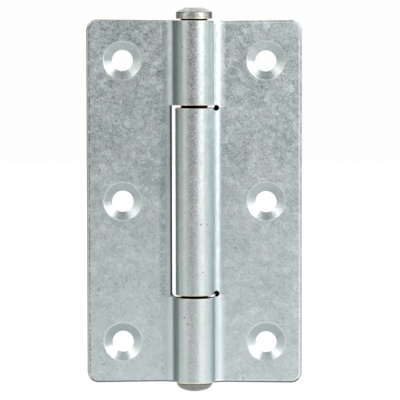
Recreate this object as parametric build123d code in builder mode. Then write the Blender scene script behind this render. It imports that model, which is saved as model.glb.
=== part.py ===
"""Rolled-knuckle butt hinge in zinc-plated sheet steel, with a riveted pin.

Millimetres. +Z runs along the pin towards its formed head. The countersunk front faces -Y.
The origin is on the pin axis, halfway between the tips of the pin's two heads.
The hinge lies flat open at rest: the left leaf towards -X, the right leaf towards +X.
"""

import os
from math import atan2, cos, degrees, radians, sin
from build123d import *

# Sheet and barrel
sheet = 1.5
barrel_radius = 5.2
bore_radius = barrel_radius - sheet
pin_clearance = 0.05
curl_gap_angle = 33
front_face = 2.5

# Bends from the leaves into the knuckles: a gentle arc, then a tight one at the root
left_bend_start = 8.9
left_bend_radius = 4.65
left_bend_angle = 41
right_bend_start = 7.4
right_bend_radius = 2.45
right_bend_angle = 44

# Leaves
leaf_height = 100
leaf_end_taper = 0.25
leaf_reach = 29.55
corner_radius = 3
right_leaf_drop = 0.2
notch_edge_reach = 6.13
notch_upper_radius = 0.35
notch_lower_radius = 1.1
leaf_edge_radius = 0.4
knuckle_edge_radius = 0.3

# Knuckles, measured from the left leaf's mid-height
upper_knuckle_foot = 26.5
lower_knuckle_top = -26.25
middle_knuckle_top = 25.8
middle_knuckle_foot = -25.6

# Lips of the right leaf beside the left leaf's knuckles
lip_start = 8.65
upper_lip_radius = 4.85
upper_lip_angle = 52
lower_lip_radius = 3.75
lower_lip_angle = 70
lip_clearance = 0.22

# Relief pockets at the roots of the middle knuckle
relief_radius = 0.75
relief_reach = 6.05
relief_flat_reach = 5.5
relief_heights = (25.7, -25.4)
relief_web = 0.95

# Screw holes
hole_radius = 2.9
countersink_radius = 5.2
countersink_angle = 120
rim_radius = 0.15
hole_reach = 19.7
hole_pitch = 38.7

# Pin heads
formed_head_radius = 4.92
formed_head_collar = 1.9
formed_head_dome = 1.1
formed_head_flat_radius = 2.3
formed_head_gap = 0.4
collar_shoulder_radius = 0.6
collar_foot_radius = 0.3
riveted_head_radius = 4.85
riveted_head_height = 2.2
riveted_head_gap = 0.15

# Places worked out from the sizes above
back_face = front_face + sheet
barrel_end = leaf_height / 2 - leaf_end_taper
collar_foot = barrel_end + formed_head_gap
collar_top = collar_foot + formed_head_collar
pin_top = collar_top + formed_head_dome
button_top = -barrel_end - riveted_head_gap
pin_bottom = button_top - riveted_head_height
leaf_middle = -(pin_top + pin_bottom) / 2

os.makedirs("parts", exist_ok=True)


def level(height):
    """The horizontal plane at a height above the left leaf's middle."""
    return Plane.XY.offset(leaf_middle + height)


def side_arc(side, centre, radius, start, sweep):
    """An arc given for the +X side, turned over for the -X side."""
    first = start if side > 0 else 180 - start
    return CenterArc((side * centre[0], centre[1]), radius, first, side * sweep)


def root_bend(start, radius, angle):
    """Centre reach, centre depth and radius of the tight arc from the gentle bend to the barrel."""
    lean = Vector(sin(radians(angle)), -cos(radians(angle)))
    meeting = Vector(start, front_face - radius) - lean * radius
    tight = (meeting.dot(meeting) - barrel_radius**2) / (2 * (barrel_radius - meeting.dot(lean)))
    centre = meeting + lean * tight
    return centre.X, centre.Y, tight


def knuckle_section(side, start, radius, angle):
    """Sheet that bends forward from the leaf, then rolls over the front and round the pin."""
    reach, depth, tight = root_bend(start, radius, angle)
    root_angle = degrees(atan2(depth, reach))
    gentle_centre = (start, front_face - radius)
    with BuildSketch() as section:
        with BuildLine():
            gentle_front = side_arc(side, gentle_centre, radius, 90, angle)
            side_arc(side, (reach, depth), tight, 90 + angle, 90 - angle + root_angle)
            outside = side_arc(side, (0, 0), barrel_radius, root_angle, curl_gap_angle - 360)
            inside = side_arc(side, (0, 0), bore_radius, root_angle, curl_gap_angle - 360)
            side_arc(side, (reach, depth), tight + sheet, 90 + angle, 90 - angle + root_angle)
            gentle_back = side_arc(side, gentle_centre, radius + sheet, 90, angle)
            Line(outside @ 1, inside @ 1)
            Line(gentle_front @ 0, gentle_back @ 0)
        make_face()
    return section.sketch


def lip_section(bend, angle):
    """Edge of the right leaf, pressed gently forward, stopping clear of the other leaf's knuckle."""
    centre = (lip_start, front_face - bend)
    with BuildSketch() as section:
        with BuildLine():
            front_line = CenterArc(centre, bend, 90, angle)
            back_line = CenterArc(centre, bend + sheet, 90, angle)
            Line(front_line @ 1, back_line @ 1)
            Line(front_line @ 0, back_line @ 0)
        make_face()
        Circle(barrel_radius + lip_clearance, mode=Mode.SUBTRACT)
    return section.sketch


def round_knuckle_rim(side, height, towards_sheet):
    """Round the outer rim of a knuckle's end, from the bend over the front to the curl's tip."""
    start = curl_gap_angle if side > 0 else 180
    rim_plane = Plane.XZ.rotated((0, 0, start))
    end = leaf_middle + height
    inset = knuckle_edge_radius
    with BuildSketch(rim_plane) as corner:
        with Locations((barrel_radius, end)):
            Rectangle(2 * inset, 2 * inset)
        with Locations((barrel_radius - inset, end + towards_sheet * inset)):
            Circle(inset, mode=Mode.SUBTRACT)
    revolve(corner.sketch, axis=Axis.Z, revolution_arc=360 - curl_gap_angle, mode=Mode.SUBTRACT)


def round_notch_edge():
    """Round the front of the notch's straight edge, between its two rounded corners."""
    inset = knuckle_edge_radius
    foot = lower_knuckle_top + notch_lower_radius
    top = upper_knuckle_foot - notch_upper_radius
    with BuildSketch(level(foot)) as corner:
        with Locations((-notch_edge_reach, front_face)):
            Rectangle(2 * inset, 2 * inset)
        with Locations((-notch_edge_reach - inset, front_face + inset)):
            Circle(inset, mode=Mode.SUBTRACT)
    extrude(corner.sketch, amount=top - foot, mode=Mode.SUBTRACT)


def leaf_outline(side, start, middle):
    """Flat part of a leaf, from a bend's start to the outer edge, with rounded outer corners."""
    half = leaf_height / 2
    with BuildSketch() as outline:
        with BuildLine():
            Polyline(
                (side * start, middle + barrel_end),
                (side * leaf_reach, middle + half),
                (side * leaf_reach, middle - half),
                (side * start, middle - barrel_end),
                close=True,
            )
        make_face()
        outer = outline.vertices().group_by(Axis.X)[-1 if side > 0 else 0]
        fillet(outer, corner_radius)
    return outline.sketch


def flat_tab(side, start, end, foot, top):
    """Flat sheet between two reaches and two heights, given from the left leaf's middle."""
    with Locations((side * (start + end) / 2, leaf_middle + (foot + top) / 2)):
        Rectangle(end - start, top - foot)


def notch_corner(height, radius, towards_middle):
    """Rounded inner corner of the left leaf's notch, where it meets a knuckle's end."""
    centre = (-notch_edge_reach + radius, height + towards_middle * radius)
    with Locations((centre[0] - radius / 2, centre[1] - towards_middle * radius / 2)):
        Rectangle(radius, radius)
    with Locations(centre):
        Circle(radius, mode=Mode.SUBTRACT)


def screw_holes(side, middle):
    """Three countersunk holes in line, opening to the front."""
    places = [(side * hole_reach, middle + step * hole_pitch) for step in (-1, 0, 1)]
    with Locations(Plane.XZ.offset(-front_face)):
        with Locations(*places):
            CounterSinkHole(hole_radius, countersink_radius, counter_sink_angle=countersink_angle)


def front_edges(leaf):
    """Edges of the leaf's flat front face."""
    flat = leaf.faces().filter_by(Plane.XZ).filter_by_position(
        Axis.Y, front_face - 0.01, front_face + 0.01
    )
    return flat.edges()


def soften_front(leaf):
    """Round the countersink rims a little, then the sheared outline of the front face."""
    circles = front_edges(leaf).filter_by(GeomType.CIRCLE)
    fillet(circles.filter_by(lambda edge: edge.radius > corner_radius), rim_radius)
    outline = front_edges(leaf).filter_by(lambda edge: abs(edge.center().X) > left_bend_start + 1)
    holes = outline.filter_by(lambda edge: edge.is_closed)
    fillet(outline - holes, leaf_edge_radius)


# Left leaf: root of the hinge, with the upper and lower knuckles and a notch between them
with BuildPart() as left_leaf:
    with BuildSketch(Plane.XZ.offset(-back_face)):
        add(leaf_outline(-1, left_bend_start, leaf_middle))
        flat_tab(-1, notch_edge_reach, left_bend_start, lower_knuckle_top, upper_knuckle_foot)
        notch_corner(leaf_middle + upper_knuckle_foot, notch_upper_radius, -1)
        notch_corner(leaf_middle + lower_knuckle_top, notch_lower_radius, 1)
    extrude(amount=sheet)
    with BuildSketch(level(upper_knuckle_foot)):
        add(knuckle_section(-1, left_bend_start, left_bend_radius, left_bend_angle))
    extrude(amount=barrel_end - upper_knuckle_foot)
    with BuildSketch(level(-barrel_end)):
        add(knuckle_section(-1, left_bend_start, left_bend_radius, left_bend_angle))
    extrude(amount=lower_knuckle_top + barrel_end)
    screw_holes(-1, leaf_middle)
    soften_front(left_leaf)
    round_notch_edge()
    round_knuckle_rim(-1, upper_knuckle_foot, 1)
    round_knuckle_rim(-1, lower_knuckle_top, -1)

# Right leaf: swings about the pin, with the middle knuckle between two pressed lips
with BuildPart() as right_leaf:
    right_middle = leaf_middle - right_leaf_drop
    with BuildSketch(Plane.XZ.offset(-back_face)):
        add(leaf_outline(1, lip_start, right_middle))
        flat_tab(1, right_bend_start, lip_start, middle_knuckle_foot, middle_knuckle_top)
    extrude(amount=sheet)
    with BuildSketch(level(middle_knuckle_foot)):
        add(knuckle_section(1, right_bend_start, right_bend_radius, right_bend_angle))
    extrude(amount=middle_knuckle_top - middle_knuckle_foot)
    with BuildSketch(level(middle_knuckle_top)):
        add(lip_section(upper_lip_radius, upper_lip_angle))
    extrude(amount=barrel_end - right_leaf_drop - middle_knuckle_top)
    with BuildSketch(level(-barrel_end - right_leaf_drop)):
        add(lip_section(lower_lip_radius, lower_lip_angle))
    extrude(amount=middle_knuckle_foot + barrel_end + right_leaf_drop)
    with BuildSketch(Plane.XZ.offset(relief_web - back_face)):
        with Locations(*[(relief_reach, leaf_middle + height) for height in relief_heights]):
            Circle(relief_radius)
        with Locations((relief_flat_reach / 2, leaf_middle)):
            Rectangle(relief_flat_reach, leaf_height, mode=Mode.SUBTRACT)
    extrude(amount=barrel_radius, mode=Mode.SUBTRACT)
    with BuildSketch(Plane.XZ):
        for foot, top in (
            (middle_knuckle_top, upper_knuckle_foot),
            (lower_knuckle_top, middle_knuckle_foot),
        ):
            with Locations((relief_flat_reach / 2, leaf_middle + (foot + top) / 2)):
                Rectangle(relief_flat_reach, top - foot)
    extrude(amount=-barrel_radius, mode=Mode.SUBTRACT)
    screw_holes(1, right_middle)
    soften_front(right_leaf)
    round_knuckle_rim(1, middle_knuckle_top, -1)
    round_knuckle_rim(1, middle_knuckle_foot, 1)

# Pin: one riveted piece, with a collared head above and a domed button below
with BuildPart() as hinge_pin:
    pin_radius = bore_radius - pin_clearance
    with BuildSketch(Plane((0, 0, leaf_middle), x_dir=(1, 0, 0), z_dir=(0, -1, 0))) as half_section:
        with BuildLine():
            dome = EllipticalCenterArc(
                (0, button_top), riveted_head_radius, riveted_head_height, 270, arc_size=90
            )
            Polyline(
                dome @ 1,
                (pin_radius, button_top),
                (pin_radius, collar_foot),
                (formed_head_radius, collar_foot),
                (formed_head_radius, collar_top),
                (formed_head_flat_radius, pin_top),
                (0, pin_top),
                dome @ 0,
            )
        make_face()
        collar = half_section.vertices().group_by(Axis.X)[-1].sort_by(Axis.Y)
        fillet(collar[-1], collar_shoulder_radius)
        fillet(collar[0], collar_foot_radius)
    revolve(axis=Axis.Z)

left_leaf.part.label = "left_leaf"
export_step(left_leaf.part, "parts/left_leaf.step")
right_leaf.part.label = "right_leaf"
export_step(right_leaf.part, "parts/right_leaf.step")
hinge_pin.part.label = "hinge_pin"
export_step(hinge_pin.part, "parts/hinge_pin.step")
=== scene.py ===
"""Looks for the zinc-plated butt hinge: worn zinc on the leaves, a scuffed steel pin, a white studio."""

from math import cos, radians, sin

import bmesh
import bpy
from mathutils import Euler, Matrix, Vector


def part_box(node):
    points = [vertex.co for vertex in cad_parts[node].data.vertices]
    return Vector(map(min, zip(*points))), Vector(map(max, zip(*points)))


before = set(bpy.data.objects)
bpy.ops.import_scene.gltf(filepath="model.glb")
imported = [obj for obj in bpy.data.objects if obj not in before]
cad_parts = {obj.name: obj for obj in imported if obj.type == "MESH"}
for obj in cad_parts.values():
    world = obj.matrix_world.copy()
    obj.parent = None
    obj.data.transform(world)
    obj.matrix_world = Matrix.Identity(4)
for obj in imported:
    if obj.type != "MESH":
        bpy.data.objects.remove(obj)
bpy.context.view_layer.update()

# The camera, in metres and degrees
CAMERA_DISTANCE = 0.9
CAMERA_ELEVATION = 3.47
CAMERA_ROLL = 0.11
CAMERA_TARGET = Vector((0.00164, 0.0, -0.00001))

# The lens and the sensor's width, in millimetres
LENS = 295.56
SENSOR = 36.0

# The studio, in metres. A lamp's power is in watts for each square metre and unit of brightness
LAMP_DISTANCE = 0.8
LAMP_POWER = 4
FLOOR_DROP = 0.06
FLOOR_RADIUS = 2.5
WARM = (1.0, 0.9, 0.9)
CREAM = (1.0, 0.93, 0.88)
COOL = (0.9, 0.97, 1.0)

# The hinge, in millimetres, as the materials see it. Reaches are from the pin's axis, heights
# from the middle of the left leaf, and faces, mouths and depths are places along Y
MM = 1000
leaf_low, leaf_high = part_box("left_leaf")
LEAF_MIDDLE = (leaf_low[2] + leaf_high[2]) / 2 * MM
LEAF_REACH = -leaf_low[0] * MM
LEAF_HALF = 50.0
LEAF_TAPER = 0.25
BARREL_HALF = LEAF_HALF - LEAF_TAPER
BARREL_RADIUS = 5.2
CORNER_RADIUS = 3.0
BACK_FACE = 4.0
POCKET_MOUTH = -1.2
CREASE_DEPTH = 2.6
BEND_END = 8.9
NOTCH_REACH = 6.13
NOTCH_TOP = 26.5
NOTCH_FOOT = -26.25
MIDDLE_KNUCKLE = (25.8, -25.6)
HOLE_REACH = 19.7
HOLE_PITCH = 38.7
COUNTERSINK_RADIUS = 5.2
RELIEF_RADIUS = 0.75
RELIEF_REACH = 6.05
RELIEF_HEIGHTS = (25.7, -25.4)
SHANK_RADIUS = 3.75
COLLAR_FOOT = 50.15
STAIN_REACH = 6.4
STAIN_HEIGHT = 46.0

# Colours of the metal and its dirt, and of painted shade and painted highlights
ZINC_BLUE = (0.55, 0.65, 0.657)
ZINC_GREY = (0.57, 0.646, 0.668)
BARREL_TONE = (1.02, 1.0, 0.98)
LEFT_EDGE = (0.80, 0.76, 0.68)
RIGHT_EDGE_HIGHLIGHT = (1.0, 1.0, 1.0)
RIM_HIGHLIGHT = (0.86, 0.97, 0.99)
BARE_END = (0.80, 0.75, 0.65)
STEEL = (0.64, 0.69, 0.68)
STEEL_STAIN = (0.48, 0.47, 0.42)
STEEL_FOOT_HIGHLIGHT = (0.85, 0.80, 0.68)
BROKEN_LINE = (0.16, 0.13, 0.10)
EDGE_DIRT = (0.17, 0.14, 0.12)
FOOT_SHADE = (0.09, 0.10, 0.10)
SCUFF_AND_SHADE = (0.22, 0.22, 0.21)
PIT = (0.12, 0.10, 0.09)
PEPPER = (0.18, 0.17, 0.16)
LEAF_DOT = (0.16, 0.19, 0.20)
CREASE_SHADE = (0.10, 0.13, 0.14)
SEAM_SHADE = (0.12, 0.17, 0.20)
BEND_SHADE = (0.20, 0.24, 0.26)
NOTCH_EDGE_SHADE = (0.06, 0.055, 0.05)
RUST = (0.42, 0.28, 0.14)
GAP_SHADE = (0.02, 0.02, 0.02)
POCKET_SHADE = (0.005, 0.005, 0.005)
SHANK_SHADE = (0.006, 0.006, 0.006)


def link(thing):
    """Put an object in the scene."""
    bpy.context.scene.collection.objects.link(thing)
    return thing


def direction(azimuth, elevation):
    """Unit vector from the hinge: azimuth 0 is the front (-Y), positive towards +X."""
    a, e = radians(azimuth), radians(elevation)
    return Vector((sin(a) * cos(e), -cos(a) * cos(e), sin(e)))


# Camera, lights and floor

def make_camera():
    data = bpy.data.cameras.new("camera")
    data.sensor_width = SENSOR
    data.lens = LENS
    data.clip_start = 0.01
    data.clip_end = 50.0
    camera = link(bpy.data.objects.new("camera", data))
    camera.location = CAMERA_TARGET + direction(0, CAMERA_ELEVATION) * CAMERA_DISTANCE
    camera.rotation_euler = Euler((radians(90 - CAMERA_ELEVATION), radians(CAMERA_ROLL), 0))
    bpy.context.scene.camera = camera


def lamp(name, place, aim, width, height, radiance, colour):
    """A rectangular lamp that the camera doesn't see."""
    data = bpy.data.lights.new(name, "AREA")
    data.shape = "RECTANGLE"
    data.size = width
    data.size_y = height
    data.color = colour
    data.energy = radiance * width * height * LAMP_POWER
    thing = link(bpy.data.objects.new(name, data))
    thing.location = place
    thing.rotation_euler = (aim - place).to_track_quat("-Z", "Y").to_euler()
    thing.visible_camera = False


def softbox(name, azimuth, elevation, width, height, radiance, colour=(1, 1, 1)):
    """A lamp that faces the hinge, with its place in degrees and its size in metres."""
    place = direction(azimuth, elevation) * LAMP_DISTANCE
    lamp(name, place, Vector((0, 0, 0)), width, height, radiance, colour)


def make_world():
    """White for the eye, a soft grey room for everything else."""
    world = bpy.data.worlds.new("studio")
    bpy.context.scene.world = world
    world.use_nodes = True
    nodes, links = world.node_tree.nodes, world.node_tree.links
    nodes.clear()
    out = nodes.new("ShaderNodeOutputWorld")
    seen = nodes.new("ShaderNodeBackground")
    seen.inputs["Color"].default_value = (0.985, 0.99, 0.98, 1)
    room = nodes.new("ShaderNodeBackground")
    room.inputs["Color"].default_value = (1, 1, 1, 1)
    room.inputs["Strength"].default_value = 0.12
    path = nodes.new("ShaderNodeLightPath")
    mix = nodes.new("ShaderNodeMixShader")
    links.new(path.outputs["Is Camera Ray"], mix.inputs[0])
    links.new(room.outputs[0], mix.inputs[1])
    links.new(seen.outputs[0], mix.inputs[2])
    links.new(mix.outputs[0], out.inputs["Surface"])


def make_floor():
    pin_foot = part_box("hinge_pin")[0][2]
    mesh = bpy.data.meshes.new("floor")
    disc = bmesh.new()
    bmesh.ops.create_circle(disc, cap_ends=True, segments=96, radius=FLOOR_RADIUS)
    disc.to_mesh(mesh)
    disc.free()
    floor = link(bpy.data.objects.new("floor", mesh))
    floor.location = (0, 0, pin_foot - FLOOR_DROP)
    paint = Graph("floor_paint")
    tone = paint.noise(paint.place, 0.004, detail=3)
    paint.shader.inputs["Roughness"].default_value = 0.85
    paint.shader.inputs["Specular IOR Level"].default_value = 0.1
    paint.feed("Base Color", paint.blend(tone, (0.88, 0.88, 0.87), (0.92, 0.92, 0.91)))
    mesh.materials.append(paint.material)


# Materials

class Graph:
    """A principled material whose nodes are built with short calls. Places are in millimetres."""

    def __init__(self, name):
        self.material = bpy.data.materials.new(name)
        self.material.use_nodes = True
        self.nodes = self.material.node_tree.nodes
        self.links = self.material.node_tree.links
        self.shader = self.nodes["Principled BSDF"]
        coordinates = self.nodes.new("ShaderNodeTexCoord")
        self.place = self.vector("SCALE", coordinates.outputs["Object"], scale=MM)
        self.x, self.y, self.z = self.split(self.place)
        self.normal_x, self.normal_y, self.normal_z = self.split(coordinates.outputs["Normal"])

    def put(self, socket, value):
        """Link another node's output to the socket, or set its plain value."""
        if isinstance(value, bpy.types.NodeSocket):
            self.links.new(value, socket)
        elif hasattr(value, "__len__") and len(value) == 3 and len(socket.default_value) == 4:
            socket.default_value = (*value, 1)
        else:
            socket.default_value = value

    def feed(self, name, value):
        self.put(self.shader.inputs[name], value)

    def split(self, vector):
        node = self.nodes.new("ShaderNodeSeparateXYZ")
        self.put(node.inputs[0], vector)
        return node.outputs

    def join(self, x, y, z):
        node = self.nodes.new("ShaderNodeCombineXYZ")
        for socket, value in zip(node.inputs, (x, y, z)):
            self.put(socket, value)
        return node.outputs[0]

    def vector(self, operation, a, b=None, scale=None):
        node = self.nodes.new("ShaderNodeVectorMath")
        node.operation = operation
        self.put(node.inputs[0], a)
        if b is not None:
            self.put(node.inputs[1], b)
        if scale is not None:
            self.put(node.inputs["Scale"], scale)
        return node.outputs[0]

    def math(self, operation, a, b=0.0, c=0.0):
        node = self.nodes.new("ShaderNodeMath")
        node.operation = operation
        for socket, value in zip(node.inputs, (a, b, c)):
            self.put(socket, value)
        return node.outputs[0]

    def length(self, across, along):
        """How far away a point is, from its two offsets."""
        squares = self.math("ADD", self.math("POWER", across, 2), self.math("POWER", along, 2))
        return self.math("SQRT", squares)

    def times(self, *factors):
        """The product of all the factors."""
        product = factors[0]
        for factor in factors[1:]:
            product = self.math("MULTIPLY", product, factor)
        return product

    def fade(self, value, start, end):
        """0 up to start, 1 from end on, smooth between them. End may be below start."""
        node = self.nodes.new("ShaderNodeMapRange")
        node.interpolation_type = "SMOOTHSTEP"
        self.put(node.inputs["Value"], value)
        low, high = sorted((start, end))
        node.inputs["From Min"].default_value = low
        node.inputs["From Max"].default_value = high
        node.inputs["To Min"].default_value = 0.0 if start < end else 1.0
        node.inputs["To Max"].default_value = 1.0 if start < end else 0.0
        return node.outputs["Result"]

    def band(self, value, start, full, thin, end):
        """0 up to start, 1 from full to thin, 0 from end on."""
        return self.times(self.fade(value, start, full), self.fade(value, end, thin))

    def noise(self, place, scale, detail=2.0, roughness=0.5):
        """Noise about 0.5, with scale in features per millimetre."""
        node = self.nodes.new("ShaderNodeTexNoise")
        self.put(node.inputs["Vector"], place)
        node.inputs["Scale"].default_value = scale
        node.inputs["Detail"].default_value = detail
        node.inputs["Roughness"].default_value = roughness
        return node.outputs["Fac"]

    def flakes(self, place, scale, smoothness):
        """A random shade for each crystal of a patchwork."""
        node = self.nodes.new("ShaderNodeTexVoronoi")
        node.feature = "SMOOTH_F1"
        self.put(node.inputs["Vector"], place)
        node.inputs["Scale"].default_value = scale
        node.inputs["Smoothness"].default_value = smoothness
        return self.split(node.outputs["Color"])[0]

    def specks(self, place, scale, size):
        """1 inside small dots, with their size as a part of their spacing."""
        node = self.nodes.new("ShaderNodeTexVoronoi")
        self.put(node.inputs["Vector"], place)
        node.inputs["Scale"].default_value = scale
        chosen = self.fade(self.split(node.outputs["Color"])[1], 0.55, 0.65)
        return self.times(self.fade(node.outputs["Distance"], size, size * 0.4), chosen)

    def warp(self, place, scale, amount):
        """The place, pushed about by noise."""
        node = self.nodes.new("ShaderNodeTexNoise")
        self.put(node.inputs["Vector"], place)
        node.inputs["Scale"].default_value = scale
        push = self.vector("SUBTRACT", node.outputs["Color"], (0.5, 0.5, 0.5))
        return self.vector("ADD", place, self.vector("SCALE", push, scale=amount))

    def blend(self, factor, first, second):
        """The first colour where the factor is 0, the second where it is 1."""
        node = self.nodes.new("ShaderNodeMix")
        node.data_type = "RGBA"
        self.put(node.inputs["Factor"], factor)
        # A Mix node's colours are its inputs 6 and 7 and its output 2
        self.put(node.inputs[6], first)
        self.put(node.inputs[7], second)
        return node.outputs[2]

    def tint(self, colour, shade):
        """The colour, multiplied by a number."""
        return self.vector("SCALE", colour, scale=shade)

    def around(self, value, middle, swing):
        """Noise about 0.5, turned into a number about the middle."""
        return self.math("MULTIPLY_ADD", value, 2 * swing, middle - swing)

    def relief(self, height, depth):
        """Bumps of the given depth in millimetres."""
        node = self.nodes.new("ShaderNodeBump")
        node.inputs["Strength"].default_value = 1.0
        node.inputs["Distance"].default_value = depth / MM
        self.put(node.inputs["Height"], height)
        self.feed("Normal", node.outputs["Normal"])


class ZincGraph(Graph):
    """A leaf's material, with the masks and noises that its layers share. Masks are 1 inside."""

    def __init__(self, name, node):
        super().__init__(name)
        self.shader.inputs["Metallic"].default_value = 1.0
        low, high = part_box(node)
        self.middle = (low[2] + high[2]) / 2 * MM
        self.reach = self.math("ABSOLUTE", self.x)
        self.height = self.math("SUBTRACT", self.z, LEAF_MIDDLE)
        self.bottom = self.fade(self.height, LEAF_HALF, -LEAF_HALF)
        self.on_barrel = self.fade(self.length(self.x, self.y), BARREL_RADIUS + 0.4, BARREL_RADIUS + 0.1)
        self.on_leaf = self.fade(self.reach, BEND_END - 1.5, BEND_END)
        self.front = self.fade(self.y, BACK_FACE - 0.05, BACK_FACE - 0.2)
        self.near_hole = self.hole_distance()
        inside = self.fade(self.near_hole, COUNTERSINK_RADIUS + 0.1, COUNTERSINK_RADIUS - 0.1)
        self.cone = self.times(inside, self.front)
        self.crystals = self.flakes(self.warp(self.place, 0.7, 2.0), 0.5, 0.35)
        self.flecks = self.flakes(self.warp(self.place, 1.5, 0.8), 1.3, 0.3)
        self.clouds = self.noise(self.place, 0.11, detail=2)
        self.grain = self.noise(self.place, 2.6, detail=2, roughness=0.7)
        self.broken = self.noise(self.place, 1.4, detail=2, roughness=0.7)
        upright = self.vector("MULTIPLY", self.place, (1, 1, 0.55))
        self.speckle = self.noise(upright, 2.9, detail=2, roughness=0.75)

    def hole_distance(self):
        """Millimetres from the nearest screw hole's axis."""
        across = self.math("SUBTRACT", self.reach, HOLE_REACH)
        raised = self.math("ADD", self.height, HOLE_PITCH * 1.5)
        along = self.math("SUBTRACT", self.math("FLOORED_MODULO", raised, HOLE_PITCH), HOLE_PITCH / 2)
        return self.length(across, along)

    def inset_distance(self):
        """Millimetres inwards from the leaf's rounded outline."""
        away = self.math("ABSOLUTE", self.math("SUBTRACT", self.z, self.middle))
        side = self.math("MULTIPLY_ADD", self.reach, LEAF_TAPER / LEAF_REACH, BARREL_HALF - CORNER_RADIUS)
        across = self.math("SUBTRACT", self.reach, LEAF_REACH - CORNER_RADIUS)
        along = self.math("SUBTRACT", away, side)
        corner = self.length(self.math("MAXIMUM", across, 0), self.math("MAXIMUM", along, 0))
        inner = self.math("MINIMUM", self.math("MAXIMUM", across, along), 0)
        return self.math("SUBTRACT", self.math("SUBTRACT", CORNER_RADIUS, corner), inner)

    def knuckle_ends(self):
        """1 in a thin band at the end of every knuckle."""
        near = 0.0
        for height in (BARREL_HALF, NOTCH_TOP, NOTCH_FOOT, *MIDDLE_KNUCKLE, -BARREL_HALF):
            off = self.math("ABSOLUTE", self.math("SUBTRACT", self.height, height))
            near = self.math("MAXIMUM", self.fade(off, 0.65, 0.4), near)
        return self.times(near, self.on_barrel)

    def painted_pocket_shade(self):
        """1 inside the two small pockets at the ends of the notch, which are painted black as their shade.
        """
        inside = 0.0
        across = self.math("SUBTRACT", self.x, RELIEF_REACH)
        for height in RELIEF_HEIGHTS:
            offset = self.length(across, self.math("SUBTRACT", self.height, height))
            inside = self.math("MAXIMUM", self.fade(offset, RELIEF_RADIUS + 0.1, RELIEF_RADIUS), inside)
        return self.times(inside, self.fade(self.y, POCKET_MOUTH - 0.3, POCKET_MOUTH))


def plate(g):
    """Zinc with crystals, chips, clouds, grain, dust and fine diagonal scratches, weathered above, with
    painted light that makes it lighter towards the bottom.
    """
    chips = g.fade(g.flakes(g.warp(g.place, 0.9, 0.5), 0.6, 0.03), 0.9, 0.93)
    dust = g.noise(g.place, 3.8, detail=1)
    rise = g.times(g.math("ADD", g.x, g.z), 2.6)
    fall = g.times(g.math("SUBTRACT", g.x, g.z), 0.35)
    scratches = g.noise(g.join(rise, g.y, fall), 1.0, detail=2, roughness=0.7)
    mottle = g.times(chips, 0.14)
    layers = ((g.crystals, 0.12), (g.flecks, 0.07), (g.clouds, 0.2),
              (g.grain, 0.4), (scratches, 0.3), (dust, 0.55))
    for layer, swing in layers:
        mottle = g.math("ADD", mottle, g.around(layer, 0, swing))
    weather = g.math("MULTIPLY_ADD", g.bottom, -0.6, 1.0)
    calm = g.math("MULTIPLY_ADD", g.math("SUBTRACT", g.on_leaf, g.cone), 0.6, 0.4)
    shade = g.math("MULTIPLY_ADD", mottle, g.times(weather, calm), 1.0)
    # Painted light: the zinc is made lighter towards the bottom.
    lit_from_below = g.math("MULTIPLY_ADD", g.math("POWER", g.bottom, 2), 0.1, 1.0)
    hue = g.fade(g.noise(g.warp(g.place, 0.6, 1.5), 0.22, detail=2), 0.35, 0.65)
    zinc = g.tint(g.blend(hue, ZINC_BLUE, ZINC_GREY), g.times(shade, lit_from_below))
    return g.blend(g.on_barrel, zinc, g.vector("MULTIPLY", zinc, BARREL_TONE))


def countersink_marks(g, zinc, notched):
    """Painted shade in the upper half of the countersinks and, on the left leaf, on their walls that face
    right, and painted highlights on the rims round them.
    """
    least = 0.62 if notched else 0.5
    # Painted shade on the countersink faces that face down, and on the left leaf also on the walls that
    # face right.
    faces_down = g.fade(g.normal_z, 0.1, -0.25)
    cone_shade = g.times(g.cone, faces_down, g.math("MULTIPLY_ADD", g.bottom, 0.35, least))
    if notched:
        faces_right = g.fade(g.normal_x, 0.38, 0.5)
        cone_shade = g.math("MAXIMUM", cone_shade, g.times(g.cone, faces_right, 0.7))
    zinc = g.tint(zinc, g.math("MULTIPLY_ADD", cone_shade, -0.42, 1.0))
    edge = COUNTERSINK_RADIUS
    # Painted highlight on the rim round each countersink.
    rim_highlight = g.times(g.band(g.near_hole, edge - 0.1, edge, edge + 0.2, edge + 0.4), g.front, g.on_leaf)
    return g.blend(g.times(rim_highlight, 0.5), zinc, RIM_HIGHLIGHT)


def outline_marks(g, zinc, wear_and_highlight_colour, wear_and_highlight_band, notched):
    """A thin dark edge, a band of wear that is a painted highlight on the right leaf, a broken dark line on
    the left and painted shade on the foot.
    """
    near, far = wear_and_highlight_band
    inset = g.inset_distance()
    outside = g.fade(g.reach, BARREL_RADIUS, BARREL_RADIUS + 0.4)
    upright = g.fade(g.reach, LEAF_REACH - CORNER_RADIUS, LEAF_REACH - 1)
    foot = g.middle - LEAF_HALF
    upper = g.fade(g.z, foot + 0.8, foot + 1.5)
    wear_and_highlight = g.times(g.band(inset, near - 0.05, near + 0.05, far - 0.05, far + 0.05), outside,
                   g.fade(g.broken, 0.25, 0.45), g.math("MULTIPLY_ADD", upright, 0.6, 0.4))
    # On the left leaf this band is beige wear; on the right leaf it is white, a painted highlight.
    zinc = g.blend(g.times(wear_and_highlight, 0.9), zinc, wear_and_highlight_colour)
    if notched:
        line = g.times(g.band(inset, far - 0.05, far + 0.05, far + 0.35, far + 0.45),
                       upright, upper, g.fade(g.broken, 0.4, 0.5))
        zinc = g.blend(g.times(line, 0.6), zinc, BROKEN_LINE)
    dark = g.times(g.fade(inset, near + 0.05, near - 0.05), outside, 0.6 if notched else 0.2)
    zinc = g.blend(dark, zinc, EDGE_DIRT)
    # Painted shade on the bottom edge of the leaf.
    foot_shade = g.times(g.fade(inset, 0.5, 0.4), outside, g.fade(upper, 1.0, 0.0))
    return g.blend(g.times(foot_shade, 0.9), zinc, FOOT_SHADE)


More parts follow.
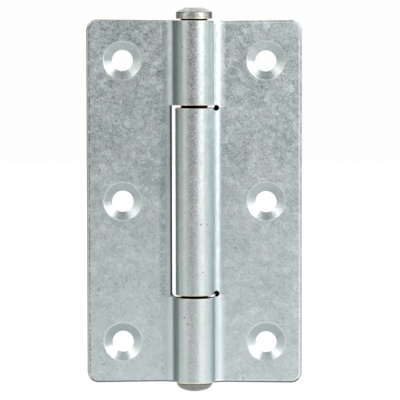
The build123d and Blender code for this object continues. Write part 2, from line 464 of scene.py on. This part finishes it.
def knuckle_marks(g, zinc):
    """Bare knuckle ends with painted shade on their faces deep in the gaps, scuffs along the ridge that
    partly paint its shade, pits and pepper.
    """
    faces_along = g.math("ABSOLUTE", g.normal_z)
    ends = g.math("MAXIMUM", g.times(g.fade(faces_along, 0.25, 0.6), g.on_barrel),
                  g.times(g.knuckle_ends(), g.fade(g.broken, 0.35, 0.6)))
    zinc = g.blend(g.times(ends, 0.75), zinc, BARE_END)
    # Painted shade: the knuckle end faces deep in the gaps are painted near black.
    zinc = g.blend(g.times(g.fade(faces_along, 0.9, 0.97), g.on_barrel), zinc, GAP_SHADE)
    # Scuffs along the barrel's front that also paint its shade there, fainter towards the bottom.
    ridge = g.times(g.band(g.x, -2.8, -0.7, 0.5, 1.5), g.fade(g.broken, 0.25, 0.5), g.on_barrel)
    scuffs_and_shade = g.times(ridge, g.fade(g.speckle, 0.38, 0.6), g.math("MULTIPLY_ADD", g.bottom, -0.45, 0.78))
    zinc = g.blend(scuffs_and_shade, zinc, SCUFF_AND_SHADE)
    zinc = g.blend(g.times(g.specks(g.place, 0.28, 0.12), g.on_barrel, 0.6), zinc, PIT)
    return g.blend(g.times(g.specks(g.place, 1.5, 0.3), g.on_barrel, 0.3), zinc, PEPPER)


def leaf_marks(g, zinc):
    """Dark dots on the leaf, and painted shade in the creases beside the barrel."""
    dots = g.times(g.specks(g.place, 0.75, 0.3), g.on_leaf, g.fade(g.clouds, 0.52, 0.44))
    zinc = g.blend(g.times(dots, 0.35), zinc, LEAF_DOT)
    outer = g.fade(g.y, CREASE_DEPTH + 0.9, CREASE_DEPTH)
    # Painted shade in the crease on the left of the barrel.
    crease_shade = g.times(g.band(g.x, -6.3, -5.7, -4.7, -4.0), outer)
    zinc = g.blend(g.times(crease_shade, 0.6), zinc, CREASE_SHADE)
    # Painted shade in the seam on the right of the barrel, stronger towards the bottom.
    seam_shade = g.times(g.band(g.x, 4.2, 5.0, 5.4, 6.0), outer, g.bottom)
    return g.blend(g.times(seam_shade, 0.35), zinc, SEAM_SHADE)


def notch_marks(g, zinc):
    """Painted shade in the left leaf's bend and on the edge of its notch."""
    in_notch = g.band(g.height, NOTCH_FOOT, NOTCH_FOOT + 0.5, NOTCH_TOP - 0.5, NOTCH_TOP)
    # Painted shade along the bend beside the notch.
    bend_shade = g.times(g.band(g.x, -10.2, -8.7, -8.1, -7.3), g.fade(g.broken, 0.35, 0.6), in_notch)
    zinc = g.blend(g.times(bend_shade, 0.45), zinc, BEND_SHADE)
    # Painted shade on the notch edge.
    notch_edge_shade = g.times(in_notch, g.fade(g.reach, NOTCH_REACH + 0.7, NOTCH_REACH + 0.45))
    return g.blend(g.times(notch_edge_shade, 0.92), zinc, NOTCH_EDGE_SHADE)


def lip_marks(g, zinc):
    """A painted highlight on the lip beside the barrel on the right leaf, with a rust stain near its top.
    """
    # Painted highlight: the lip's colour is made lighter, less so towards the bottom.
    lip_highlight = g.times(g.band(g.x, 5.2, 5.5, 6.6, 7.6), g.math("MULTIPLY_ADD", g.bottom, -0.15, 0.28))
    zinc = g.tint(zinc, g.math("ADD", lip_highlight, 1.0))
    offset = g.length(g.times(g.math("SUBTRACT", g.x, STAIN_REACH), 2.2),
                      g.times(g.math("SUBTRACT", g.height, STAIN_HEIGHT), 0.6))
    stain = g.times(g.fade(offset, 1.0, 0.5), g.fade(g.grain, 0.42, 0.55))
    return g.blend(g.times(stain, 0.6), zinc, RUST)


def zinc_finish(g, pocket_shade):
    """Roughness everywhere, turned marks in the countersinks and grain on the rest."""
    rough = g.around(g.flecks, 0.38, 0.04)
    rough = g.math("ADD", rough, g.around(g.grain, 0, 0.08))
    rough = g.math("MULTIPLY_ADD", g.on_barrel, 0.04, rough)
    g.feed("Roughness", g.math("MULTIPLY_ADD", pocket_shade, 0.5, rough))
    turned = g.math("SINE", g.math("MULTIPLY", g.near_hole, 12))
    rolled = g.math("MULTIPLY_ADD", g.on_leaf, 0.7, 0.3)
    skin = g.times(g.math("ADD", g.grain, g.times(g.crystals, 0.5)), rolled)
    skin = g.math("ADD", skin, g.times(g.speckle, g.on_barrel, 0.4))
    g.relief(g.blend(g.cone, skin, g.times(turned, 0.4)), 0.012)


def make_zinc(name, node, wear_and_highlight_colour, wear_and_highlight_band, notched):
    """A leaf's plating. The band of wear and painted highlight runs between two distances in from the
    outline.
    """
    g = ZincGraph(name, node)
    pocket_shade = g.painted_pocket_shade()
    zinc = plate(g)
    zinc = countersink_marks(g, zinc, notched)
    zinc = outline_marks(g, zinc, wear_and_highlight_colour, wear_and_highlight_band, notched)
    zinc = knuckle_marks(g, zinc)
    zinc = leaf_marks(g, zinc)
    zinc = notch_marks(g, zinc) if notched else lip_marks(g, zinc)
    # The pockets get a near black colour: painted shade.
    g.feed("Base Color", g.blend(pocket_shade, zinc, POCKET_SHADE))
    zinc_finish(g, pocket_shade)
    return g.material


def make_pin_steel():
    """Stained steel heads with a painted highlight at the collar foot and painted shade on the top dome,
    darker towards the bottom, and a shank painted black as shade in the gaps between the knuckles.
    """
    g = Graph("pin_steel")
    g.shader.inputs["Metallic"].default_value = 1.0
    away = g.math("ABSOLUTE", g.math("SUBTRACT", g.z, LEAF_MIDDLE))
    # Painted shade: the shank is painted black where it shows in the gaps.
    shank_shade = g.times(g.fade(g.length(g.x, g.y), SHANK_RADIUS + 0.1, SHANK_RADIUS),
                    g.fade(away, COLLAR_FOOT + 0.45, COLLAR_FOOT + 0.25))
    grain = g.noise(g.place, 2.4, detail=3, roughness=0.65)
    stains = g.noise(g.warp(g.place, 1.0, 1.0), 0.7, detail=2)
    steel = g.blend(g.fade(stains, 0.45, 0.65), STEEL, STEEL_STAIN)
    steel = g.tint(steel, g.around(grain, 1.0, 0.5))
    # Painted highlight: a cream band at the foot of each collar.
    steel = g.blend(g.times(g.fade(away, COLLAR_FOOT + 0.45, COLLAR_FOOT + 0.2), 0.7), steel, STEEL_FOOT_HIGHLIGHT)
    # Painted shade on the upward faces of the top head's dome.
    shaded_dome = g.times(g.fade(g.normal_z, 0.1, 0.4), g.fade(g.z, 0, 10))
    steel = g.tint(steel, g.math("MULTIPLY_ADD", shaded_dome, -0.45, 1.0))
    # The steel is darker towards the bottom.
    steel = g.tint(steel, g.around(g.fade(g.z, -LEAF_HALF, LEAF_HALF), 0.63, 0.26))
    g.feed("Base Color", g.blend(shank_shade, steel, SHANK_SHADE))
    g.feed("Roughness", g.math("MULTIPLY_ADD", shank_shade, 0.4, g.around(grain, 0.36, 0.1)))
    g.relief(g.math("ADD", grain, g.times(stains, 0.8)), 0.014)
    return g.material


def dress(node, material):
    """Give a CAD node its material."""
    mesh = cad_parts[node].data
    mesh.materials.clear()
    mesh.materials.append(material)


# The scene

make_camera()
make_world()
make_floor()
dress("left_leaf", make_zinc("left_zinc", "left_leaf", LEFT_EDGE, wear_and_highlight_band=(0.25, 0.5), notched=True))
dress("right_leaf", make_zinc("right_zinc", "right_leaf", RIGHT_EDGE_HIGHLIGHT, wear_and_highlight_band=(0.5, 0.92), notched=False))
dress("hinge_pin", make_pin_steel())

softbox("key_right", 38, 26, 0.54, 0.34, 3.52, WARM)
softbox("low_right", 50, 9, 0.33, 0.22, 2.6, WARM)
softbox("front_fill", 15, 9, 0.24, 0.20, 0.85)
softbox("left_high", -40, 32, 0.24, 0.34, 3.4, CREAM)
softbox("left_wide", -61, 14, 0.38, 0.44, 0.95, CREAM)
softbox("high_front", -4, 34, 0.30, 0.14, 1.8)
softbox("right_side", 86, 18, 0.34, 0.60, 0.95, COOL)
softbox("back_right", 140, 40, 0.50, 0.50, 0.8)
lamp("overhead", Vector((0, 1.1, 2.0)), Vector((0, 1.1, 0)), 4.0, 3.4, 0.84, (0.98, 1, 1))
lamp("backdrop", Vector((0, 1.9, 0.9)), Vector((0, 1.9, 0)), 2.6, 2.3, 0.88, (1, 1, 1))
bpy.context.scene.view_settings.view_transform = "Standard"
